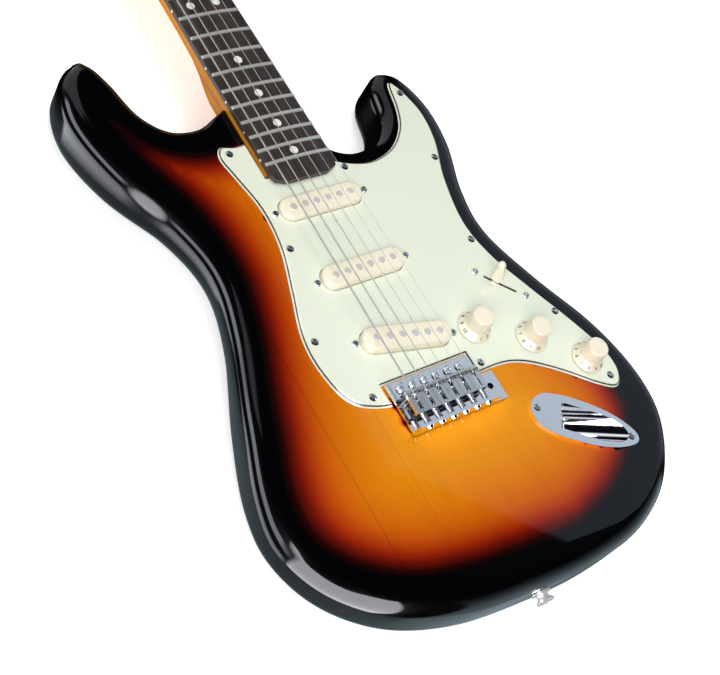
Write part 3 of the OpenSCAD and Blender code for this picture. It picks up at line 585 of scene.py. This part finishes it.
def jack_local(p, z=0):
    c, s = math.cos(math.radians(JACK_TURN)), math.sin(math.radians(JACK_TURN))
    return Vector((JACK_XY[0] + p[0] * c - p[1] * s, JACK_XY[1] + p[0] * s + p[1] * c, 47 + z))


def carve(o):
    jack = [(-33, -9), (-28, -12.5), (8, -12.5), (22, -11.3), (33, -6), (34.5, 0), (33, 6),
            (22, 11.3), (8, 12.5), (-28, 12.5), (-33, 9)]
    cuts = [
        prism([(-28.4, 186.9), (28.4, 186.9), (28.1, 206), (36, 209), (36, 262), (-27.6, 262)], 31, 70),
        prism([(62, 54), (44, 50), (44, 22), (58, 9), (84, -1), (104, -15), (120, -28), (133, -39),
               (139, -35), (147, -24), (138, 4), (126, 20), (124, 38), (117, 54), (98, 84), (82, 88),
               (72, 76)], 13, 60),
        prism(oblong(92, 26, (0, 156.5)), 29, 60), prism(oblong(92, 26, (0, 98.5)), 29.01, 60),
        prism(oblong(92, 26, (0, 41), -12), 29.02, 60), prism(rect(18, 36, 36, 152), 28.9, 60),
        prism(rect(-34.8, 38, -21, 6.5), -5, 60), prism(rect(-29, 29, -21.3, 108), -5.1, 19.3),
        prism(rect(37, 47.5, -20.5, -5.5), 30, 60),
        prism([tuple(jack_local(p)[:2]) for p in jack], 15, 60),
    ]
    for k, (v, f) in enumerate(cuts):
        me = bpy.data.meshes.new("cut")
        me.from_pydata(v, [], f)
        bm = bmesh.new()
        bm.from_mesh(me)
        bmesh.ops.recalc_face_normals(bm, faces=bm.faces)
        bm.to_mesh(me)
        bm.free()
        c = bpy.data.objects.new("cut", me)
        bpy.context.scene.collection.objects.link(c)
        mod = o.modifiers.new("cut", "BOOLEAN")
        mod.operation, mod.solver, mod.object = "DIFFERENCE", "EXACT", c
        bpy.context.view_layer.update()
        dg = bpy.context.evaluated_depsgraph_get()
        me2 = bpy.data.meshes.new_from_object(o.evaluated_get(dg))
        o.modifiers.clear()
        o.data = me2
        bpy.data.objects.remove(c)


make_body()


# ---------- pickguard and back cover: layered plastic with a slanted edge ----------

def top_loops(node, z, up=True):
    """Boundary loops of a CAD node's flat face at height z, each counter-clockwise round its material."""
    me = NODES[node].data
    key = lambda v: (round(v.x, 6), round(v.y, 6))
    edges = {}
    for p in me.polygons:
        vs = [me.vertices[i].co for i in p.vertices]
        if all(abs(v.z - z) < 2e-5 for v in vs):
            if (p.normal.z > 0) != up:
                continue
            for a, b in zip(vs, vs[1:] + vs[:1]):
                e = (key(a), key(b))
                if (e[1], e[0]) in edges:
                    del edges[(e[1], e[0])]
                else:
                    edges[e] = 1
    nxt = {}
    for a, b in edges:
        nxt.setdefault(a, []).append(b)
    loops = []
    while nxt:
        a = next(iter(nxt))
        loop = [a]
        while True:
            b = nxt[loop[-1]].pop()
            if not nxt[loop[-1]]:
                del nxt[loop[-1]]
            if b == a:
                break
            loop.append(b)
            if b not in nxt:
                break
        if len(loop) > 3:
            loops.append([Vector(p) for p in loop])
    return loops


def area2(loop):
    return 0.5 * sum(a.x * b.y - a.y * b.x for a, b in zip(loop, loop[1:] + loop[:1]))


def shift_loop(loop, d):
    """Moves a loop by d into the material on its left, keeping corners."""
    n = len(loop)
    out = []
    for i in range(n):
        a, b, c = loop[i - 1], loop[i], loop[(i + 1) % n]
        d1, d2 = (b - a), (c - b)
        if d1.length < 1e-9 or d2.length < 1e-9:
            out.append(b.copy())
            continue
        d1.normalize()
        d2.normalize()
        n1, n2 = Vector((-d1.y, d1.x)), Vector((-d2.y, d2.x))
        m = (n1 + n2)
        if m.length < 1e-6:
            out.append(b + n1 * d)
            continue
        m.normalize()
        out.append(b + m * (d / max(0.4, m.dot(n1))))
    return out


def in_sheet(p, loops):
    """True inside the outline and outside its holes: an odd number of loops lie round the point."""
    return sum(inside(p, loop) for loop in loops) % 2 == 1


def layered(name, node, z_face, z_back, up, layers, mats, edge_in, hole_in, replaces):
    """A sheet of plastic layers: layers is [(fraction of thickness from the face, material)]."""
    loops = top_loops(node, z_face, up)
    if not up:
        loops = [[v for v in reversed(l)] for l in loops]
    outer = max(loops, key=lambda l: abs(area2(l)))
    if area2(outer) < 0:
        loops = [[v for v in reversed(l)] for l in loops]
        outer = max(loops, key=lambda l: abs(area2(l)))
    verts, faces, fm = [], [], []
    fr = [0.0] + [f for f, _ in layers]
    top_rings = []
    for loop in loops:
        reach = edge_in if loop is outer else hole_in
        wide = max(p.x for p in loop) - min(p.x for p in loop)
        # a narrow hole, the switch slot: below the face layer all its walls take the black layer's
        # material, painted shade down in the slot
        slot_painted_shade = 0.012 < wide < 0.024 and abs(area2(loop)) < 0.00006
        prev = None
        for k, f in enumerate(fr):
            z = z_face + (z_back - z_face) * f
            pts = shift_loop(loop, reach * (1 - f / fr[-1]))
            ids = list(range(len(verts), len(verts) + len(pts)))
            verts += [(p.x, p.y, z) for p in pts]
            if prev:
                n = len(pts)
                for i in range(n):
                    j = (i + 1) % n
                    q = (prev[i], ids[i], ids[j], prev[j])
                    faces.append(q if up else tuple(reversed(q)))
                    fm.append(1 if slot_painted_shade and k > 1 else layers[k - 1][1])
            else:
                top_rings.append(ids)
            prev = ids
        top_rings[-1] = (top_rings[-1], prev)
    for which, z in ((0, z_face), (1, z_back)):
        pts, edges, back = [], [], []
        for r in top_rings:
            ids = r[which]
            s = len(pts)
            pts += [Vector(verts[i][:2]) for i in ids]
            back += ids
            edges += [(s + i, s + (i + 1) % len(ids)) for i in range(len(ids))]
        vo, _, fo, vmap, _, _ = delaunay_2d_cdt(pts, edges, [], 2, 1e-7)
        rings = [[Vector(verts[i][:2]) for i in r[which]] for r in top_rings]
        fo = [f for f in fo if in_sheet(sum((vo[k] for k in f), Vector((0, 0))) / len(f), rings)]
        ids = []
        for p, src in zip(vo, vmap):
            if not src:
                verts.append((p.x, p.y, z))
            ids.append(back[src[0]] if src else len(verts) - 1)
        for f in fo:
            t = [ids[k] for k in f]
            if faces_up(verts, t) != ((which == 0) == up):
                t.reverse()
            faces.append(tuple(t))
            fm.append(0 if which == 0 else layers[-1][1])
    return new_object(name, verts, faces, mats, "instrument", 30, fm, replaces)


g_lo, g_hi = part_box("pickguard")
layered("pickguard_plate", "pickguard", g_hi.z, g_lo.z, True, [(0.30, 0), (0.65, 1), (1.0, 0)],
        ["mint", "ply_black"], 0.0022, 0.0002, ["pickguard"])
c_lo, c_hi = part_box("back_cover")
layered("back_plate", "back_cover", c_lo.z, c_hi.z, False, [(0.30, 0), (0.65, 1), (1.0, 0)],
        ["mint", "ply_black"], 0.0022, 0.0002, ["back_cover"])

# ---------- materials on the CAD nodes that stay ----------

paint("neck", "maple")
paint("fingerboard", "rosewood")
bevel(NODES["fingerboard"], 0.0004, 2, 30)
join_bevelled("frets", "fret", 0.0004, 2, 30)
paint("position_dots", "pearl")
join_bevelled("nut", "bone", 0.0004, 2, 30)
join_bevelled("neck_plate", "chrome", 0.0005, 2, 30)
for n in ("neck_screws", "pivot_screws", "intonation_screws"):
    join_bevelled(n, "chrome", 0.00015, 1, 30)
for n in ("cover_screws", "machine_screws"):
    join_bevelled(n, "screw", 0.00015, 1, 30)
join_bevelled("pole_magnets", "magnet", 0.0003, 2, 40)
paint("pickup_bobbins", "black")
paint("pickup_coils", "copper")
for n in ("volume_shaft", "neck_tone_shaft", "middle_tone_shaft"):
    paint(n, "nickel")
paint("pot_housings", "zinc")
paint("pot_nuts", "nickel")
paint("switch_frame", "zinc")
join_bevelled("switch_lever", "nickel", 0.0002, 1, 40)
join_bevelled("switch_tip", "cream", 0.0005, 3, 30)
join_bevelled("jack_plate", "chrome", 0.0005, 3, 50)
join_bevelled("jack_socket", "nickel", 0.0002, 1, 40)
paint("wiring", "cloth_black")
join_bevelled("bridge_plate", "chrome", 0.0005, 2, 40)
join_bevelled("tremolo_block", "brush", 0.0004, 1, 40)
join_bevelled("saddles", "nickel", 0.0004, 2, 40)
paint("saddle_screws", "dark_steel")
join_bevelled("spring_claw", "nickel", 0.0003, 1, 40)
paint("claw_screws", "nickel")
join_bevelled("strap_buttons", "button", 0.0002, 1, 40)
join_bevelled("string_tree", "chrome", 0.0003, 2, 40)
join_bevelled("tuner_housings", "chrome", 0.0008, 2, 40)
join_bevelled("tuner_bushings", "chrome", 0.0003, 2, 40)
for i in range(1, 7):
    join_bevelled(f"tuner_button_{i}", "chrome", 0.0012, 3, 40)
    join_bevelled(f"tuner_post_{i}", "chrome", 0.0003, 2, 40)
# ---------- strings and springs ----------

def smooth_path(pts, radius=1.2, n=5):
    """Rounds the corners of a polyline (mm) and returns points in metres."""
    pts = [Vector(p) for p in pts]
    out = [pts[0]]
    for a, b, c in zip(pts, pts[1:], pts[2:]):
        u, v = (a - b), (c - b)
        r = min(radius, u.length * 0.45, v.length * 0.45)
        p, q = b + u.normalized() * r, b + v.normalized() * r
        for k in range(n + 1):
            t = k / n
            out.append(p * (1 - t) ** 2 + b * 2 * t * (1 - t) + q * t * t)
    out.append(pts[-1])
    return [p * MM for p in out]


STRING_R = (0.58, 0.46, 0.34, 0.22, 0.17, 0.13)
BALL_END = [(0.0009, 0), (0.0019, 0.0006), (0.0013, 0.002), (0.0019, 0.0034), (0.0009, 0.004)]
STRING_PITCH, NUT_PITCH = 10.5, 7       # between strings at the saddles and at the nut
plate_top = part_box("saddle_screws")[0].z / MM - 0.02
hole_y = -6                            # where the strings come up through the plate
saddle_z = 60.4                        # middle of every string over its saddle
nut_y, nut_z = 649.7, 57.4
head_top = 45.6
tree_y, tree_under = 708.5, head_top + 6.6
post_r = 3.2


def tuner_at(i):
    s = math.radians(14.5)
    return Vector((-20.5 + i * 25.4 * math.sin(s), 691 + i * 25.4 * math.cos(s)))


def make_strings():
    for i in range(6):
        r = STRING_R[i]
        x = STRING_PITCH * (i - 2.5)
        t = tuner_at(i)
        wind = post_r + r + 0.06
        lift = head_top + 7.4 - 0.5 * i
        start = Vector((x, 0, saddle_z))
        over = Vector((NUT_PITCH * (i - 2.5), nut_y, nut_z))
        pts = [(x, hole_y, plate_top - 14.4), (x, hole_y, plate_top + 2), (x, -1.5, saddle_z), start]
        long = [start.lerp(over, k / 60) for k in range(1, 60)]
        path = smooth_path(pts, 1.0) + [p * MM for p in long]
        tail = [over + (over - start) * -0.01, over]
        if i > 3:
            # the two thinnest strings pass under the tree
            run = (tree_y - over.y) / (t.y - over.y)
            tail.append(Vector((over.x + (t.x + wind - over.x) * run, tree_y, tree_under - r - 0.2)))
        tail.append(Vector((t.x + wind, t.y, lift)))
        path += smooth_path(tail + [Vector((t.x + wind, t.y + 0.01, lift))], 0.8)[1:]
        for k in range(1, 73):
            a = math.radians(k * 7.5)
            path.append(Vector((t.x + wind * math.cos(a), t.y + wind * math.sin(a),
                                lift - (2 * r + 0.15) * k * 7.5 / 360)) * MM)
        o = tube(f"string_{i + 1}", path, r * MM, "wound" if i < 3 else "plain", None, 10)
        if i == 0:
            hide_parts("strings")
        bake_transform(o)
        ball = Vector((x, hole_y, plate_top - 17.2)) * MM
        lathe(f"ball_end_{i + 1}", BALL_END, ball, "nickel", "vibrato", 20)


make_strings()


def coil(name, a, b, radius, wire, turns, mat, body, hook=0.0, replaces=()):
    a, b = Vector(a), Vector(b)
    d = (b - a).normalized()
    u = Vector((0, 0, 1)) if abs(d.z) < 0.9 else Vector((1, 0, 0))
    w = d.cross(u)
    pts = []
    if hook:
        pts += [a - d * hook, a - d * (hook * 0.4)]
    n = int(turns * 14)
    for k in range(n + 1):
        t = k / n
        ang = 2 * math.pi * turns * t
        pts.append(a.lerp(b, t) + (u * math.cos(ang) + w * math.sin(ang)) * radius)
    if hook:
        pts += [b + d * (hook * 0.4), b + d * hook]
    o = tube(name, pts, wire, mat, body, 8)
    if replaces:
        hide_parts(*replaces)
    return o


iz = (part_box("intonation_springs")[0].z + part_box("intonation_springs")[1].z) / 2
for i in range(6):
    x = STRING_PITCH * (i - 2.5) * MM
    coil(f"intonation_spring_{i + 1}", (x, -0.0143, iz), (x, -0.0215, iz), 0.00185, 0.0003, 6, "steel",
         "vibrato", replaces=["intonation_springs"] if i == 0 else ())
sz = 0.5 * (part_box("tremolo_springs")[0].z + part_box("tremolo_springs")[1].z)
for k, x in enumerate((-0.021, 0.0, 0.021)):
    o = coil(f"vibrato_spring_{k + 1}", (x, 0.012, sz), (x, 0.084, sz), 0.0030, 0.00055, 46, "steel", None,
             0.0115)
    if k == 0:
        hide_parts("tremolo_springs")
    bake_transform(o)


# ---------- pickup covers, moulded with soft edges ----------

def moulded_cover(name, node, soft=0.0021):
    lo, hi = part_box(node)
    zt, zb, wall = hi.z, lo.z, 0.0012
    loops = top_loops(node, zt)
    outer = max(loops, key=lambda l: abs(area2(l)))
    if area2(outer) < 0:
        loops = [[v for v in reversed(l)] for l in loops]
        outer = max(loops, key=lambda l: abs(area2(l)))
    holes = [l for l in loops if l is not outer]
    verts, faces = [], []

    def ring(loop, d, z):
        s = len(verts)
        verts.extend((p.x, p.y, z) for p in shift_loop(loop, d))
        return list(range(s, s + len(loop)))

    def wall_between(a, b, flip=False):
        n = len(a)
        for i in range(n):
            j = (i + 1) % n
            q = (a[i], a[j], b[j], b[i])
            faces.append(tuple(reversed(q)) if flip else q)

    def cap(rings, up):
        pts, edges, back = [], [], []
        for ids in rings:
            s = len(pts)
            pts += [Vector(verts[i][:2]) for i in ids]
            back += ids
            edges += [(s + i, s + (i + 1) % len(ids)) for i in range(len(ids))]
        vo, _, fo, vmap, _, _ = delaunay_2d_cdt(pts, edges, [], 2, 1e-7)
        loops2 = [[Vector(verts[i][:2]) for i in ids] for ids in rings]
        for f in fo:
            if not in_sheet(sum((vo[k] for k in f), Vector((0, 0))) / len(f), loops2):
                continue
            t = [back[vmap[k][0]] for k in f]
            if faces_up(verts, t) != up:
                t.reverse()
            faces.append(tuple(t))

    chain = [ring(outer, 0, zb), ring(outer, 0, zt - soft)]
    for k in range(1, 7):
        a = math.radians(15 * k)
        chain.append(ring(outer, soft * (1 - math.cos(a)), zt - soft * (1 - math.sin(a))))
    for a, b in zip(chain, chain[1:]):
        wall_between(a, b)
    lip = [(ring(h, 0.00025, zt), ring(h, 0.0, zt - 0.0003), ring(h, 0.0, zt - wall)) for h in holes]
    for a, b, c in lip:
        wall_between(b, a)
        wall_between(c, b)
    cap([chain[-1]] + [l[0] for l in lip], True)
    ceiling, foot = ring(outer, wall, zt - wall), ring(outer, wall, zb)
    cap([ceiling] + [l[2] for l in lip], False)
    wall_between(foot, ceiling, True)
    wall_between(chain[0], foot, True)
    o = new_object(name, verts, faces, ["cream"], "instrument", 35, None, [node])
    return o


for n in ("neck", "middle", "bridge"):
    moulded_cover(n + "_cover_shell", n + "_pickup_cover")


# ---------- knobs ----------

def numeral(text, size):
    cu = bpy.data.curves.new("num", "FONT")
    cu.body, cu.size, cu.align_x, cu.align_y = text, size, "CENTER", "CENTER"
    cu.extrude, cu.offset = 0.00004, 0.00006
    cu.resolution_u = 3
    o = bpy.data.objects.new("num", cu)
    bpy.context.scene.collection.objects.link(o)
    bpy.context.view_layer.update()
    me = bpy.data.meshes.new_from_object(o.evaluated_get(bpy.context.evaluated_depsgraph_get()))
    bpy.data.objects.remove(o)
    return me


def make_knob(node, body, first_angle):
    lo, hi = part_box(node)
    c = Vector(((lo.x + hi.x) / 2, (lo.y + hi.y) / 2, lo.z))
    h = hi.z - lo.z
    R = (hi.x - lo.x) / 2
    # the conical skirt runs from its foot up to the neck of the cap
    foot, neck = (R - 0.0003, 0.0013), (0.0098, 0.0044)
    prof = [(0.0078, 0.0), (foot[0], 0.0), (R, 0.0003), (R, 0.0009), foot,
            neck, (0.0092, 0.0054), (0.0089, 0.0066), (0.0086, 0.0085), (0.0081, h - 0.0016),
            (0.0080, h - 0.0009), (0.0077, h - 0.0002), (0.0072, h), (0.0045, h - 0.00015),
            (0.0015, h - 0.0002)]

    def flutes(j, a, r):
        return r * (1 + (0.010 * math.cos(30 * a) if 6 <= j <= 9 else 0.0))
    o = lathe(node + "_cap", prof, c, "cream", body, steps=240, angle=32, shape=flutes)
    verts, faces = [], []
    slope = math.atan2(neck[1] - foot[1], foot[0] - neck[0])
    mid = ((foot[0] + neck[0]) / 2 + 0.00004 * math.sin(slope), 0, (foot[1] + neck[1]) / 2 + 0.00006)
    for k in range(10):
        me = numeral(str(k + 1), 0.0036)
        a = math.radians(first_angle + 32 * k)
        # the numbers lie on the skirt with their feet outwards
        m = (Matrix.Translation(c) @ Matrix.Rotation(a, 4, "Z")
             @ Matrix.Translation(mid)
             @ Matrix.Rotation(slope, 4, "Y") @ Matrix.Rotation(math.radians(90), 4, "Z"))
        s = len(verts)
        verts += [m @ v.co for v in me.vertices]
        faces += [tuple(s + i for i in p.vertices) for p in me.polygons]
        bpy.data.meshes.remove(me)
    new_object(node + "_numbers", verts, faces, ["ink"], body, 0)
    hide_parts(node)
    return o


make_knob("volume_knob", "volume_control", 256)
make_knob("neck_tone_knob", "neck_tone_control", 325)
make_knob("middle_tone_knob", "middle_tone_control", 4)


# ---------- studio ----------

def sky(w):
    """What the gloss mirrors: soft boxes and dark gaps, by direction, as in a product studio."""
    t = w.node_tree
    t.nodes.clear()
    new = t.nodes.new

    def op(kind, a, b=0.0, clamp=False):
        n = new("ShaderNodeMath")
        n.operation, n.use_clamp = kind, clamp
        for i, x in enumerate((a, b)):
            if isinstance(x, bpy.types.NodeSocket):
                t.links.new(x, n.inputs[i])
            else:
                n.inputs[i].default_value = x
        return n.outputs[0]

    xyz = new("ShaderNodeSeparateXYZ")
    t.links.new(new("ShaderNodeTexCoord").outputs["Generated"], xyz.inputs[0])
    turn = op("MULTIPLY", op("ARCTAN2", xyz.outputs[0], xyz.outputs[1]), 57.3)   # from +Y towards +X
    rise = op("MULTIPLY", op("ARCSINE", xyz.outputs[2]), 57.3)

    def step(v, a, b):
        """0 at a, 1 at b."""
        return op("MULTIPLY", op("SUBTRACT", v, a), 1.0 / (b - a), True)

    def panel(az, el, soft=(2.0, 1.0)):
        p = op("MULTIPLY", step(turn, az[0], az[0] + soft[0]), step(turn, az[1], az[1] - soft[0]))
        q = op("MULTIPLY", step(rise, el[0], el[0] + soft[1]), step(rise, el[1], el[1] - soft[1]))
        return op("MULTIPLY", p, q)

    # the wide panel's upper edge has one corner cut off
    x, y, z = xyz.outputs
    slanted = op("SUBTRACT", op("ADD", y, op("MULTIPLY", x, 1.04)), op("MULTIPLY", z, 0.974))
    upright = op("SUBTRACT", x, op("MULTIPLY", z, 0.702))
    corner = op("MULTIPLY", step(upright, 0.0, 0.004), step(slanted, 0.0, 0.006))
    wide = panel((57, 101), (-8, 60), (4, 0.7))
    total = None
    for mask, rgb in (
            (op("MULTIPLY", wide, corner), (0.50, 0.58, 0.68)),                    # wide panel behind
            (panel((-168, -100), (-48, 49), (3, 2)), (11.0, 11.0, 11.6)),          # key box near the camera
            (panel((-100, -34), (3, 26), (6, 3)), (5.6, 5.8, 6.3)),                # its upper strip
            (panel((-100, -34), (-52, -20), (6, 5)), (3.5, 3.6, 4.0)),             # and its lower strip
            (panel((103, 166), (-60, 38), (4, 42)), (0.80, 1.0, 1.12)),            # pale wall past the tail
            (panel((-30, 26), (-5, 62), (5, 5)), (0.9, 0.95, 1.0)),                # soft box past the head
            (panel((-181, 181), (-91, -46), (1, 10)), (0.28, 0.36, 0.40)),         # table
            (panel((-181, 181), (-91, 91), (1, 1)), (0.003, 0.004, 0.005))):
        m = new("ShaderNodeVectorMath")
        m.operation = "MULTIPLY"
        comb = new("ShaderNodeCombineXYZ")
        for i in range(3):
            t.links.new(mask, comb.inputs[i])
        t.links.new(comb.outputs[0], m.inputs[0])
        m.inputs[1].default_value = rgb
        if total is None:
            total = m.outputs[0]
        else:
            add = new("ShaderNodeVectorMath")
            add.operation = "ADD"
            t.links.new(total, add.inputs[0])
            t.links.new(m.outputs[0], add.inputs[1])
            total = add.outputs[0]
    bg, out = new("ShaderNodeBackground"), new("ShaderNodeOutputWorld")
    t.links.new(total, bg.inputs[0])
    t.links.new(bg.outputs[0], out.inputs[0])
    w.cycles_visibility.diffuse = False


def studio():
    bpy.context.scene.view_settings.view_transform = "Standard"
    me = bpy.data.meshes.new("floor")
    s = 6.0
    me.from_pydata([(-s, -s, 0), (s, -s, 0), (s, s, 0), (-s, s, 0)], [], [(0, 1, 2, 3)])
    m = Mat("floor_paper")
    n = m.noise(m.coords(), 2, 2, 0.5)
    m.set(Base_Color=m.ramp(n, [(0.3, grey(0.93)), (0.7, grey(0.95))]), Roughness=0.9,
          Specular_IOR_Level=0.1, Emission_Color=(1, 1, 1), Emission_Strength=0.5)
    me.materials.append(m.m)
    f = bpy.data.objects.new("floor", me)
    bpy.context.scene.collection.objects.link(f)
    f.visible_glossy = False
    w = bpy.data.worlds.new("studio")
    bpy.context.scene.world = w
    w.use_nodes = True
    sky(w)

    def light(name, loc, aim, size, power, size_y=None):
        l = bpy.data.lights.new(name, "AREA")
        l.shape = "RECTANGLE"
        l.size, l.size_y, l.energy = size, size_y or size, power
        o = bpy.data.objects.new(name, l)
        o.location = loc
        o.rotation_euler = (Vector(aim) - Vector(loc)).to_track_quat("-Z", "Y").to_euler()
        o.visible_glossy = False
        bpy.context.scene.collection.objects.link(o)
    light("overhead", (0.3, 0.3, 1.7), (0.05, 0.05, 0), 1.6, 23)
    light("front", (-1.1, -0.7, 1.2), (0, 0.05, 0), 1.2, 24)


studio()
